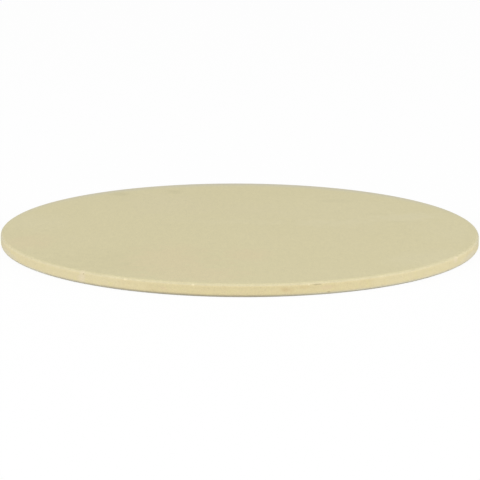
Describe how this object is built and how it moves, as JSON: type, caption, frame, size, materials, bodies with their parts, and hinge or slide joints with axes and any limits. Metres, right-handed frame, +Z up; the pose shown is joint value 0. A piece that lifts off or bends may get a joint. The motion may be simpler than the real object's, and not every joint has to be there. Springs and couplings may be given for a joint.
{
  "type": "pizza stone",
  "caption": "Round flat baking slab of fired cordierite with rounded rims, heated in an oven or on a grill to bake pizza and bread on its bare upper face.",
  "frame": {"origin": "centre of the flat underside, on the surface that the stone lies on", "axes": "+Z up, along the disc's axis of symmetry; X and Y lie in the underside, and -Y faces the viewer of the picture"},
  "size_m": [0.3799, 0.38, 0.01],
  "materials": {
    "fired_cordierite": "matte"
  },
  "bodies": {
    "root": {"baking_stone": "fired_cordierite"}
  },
  "joints": []
}
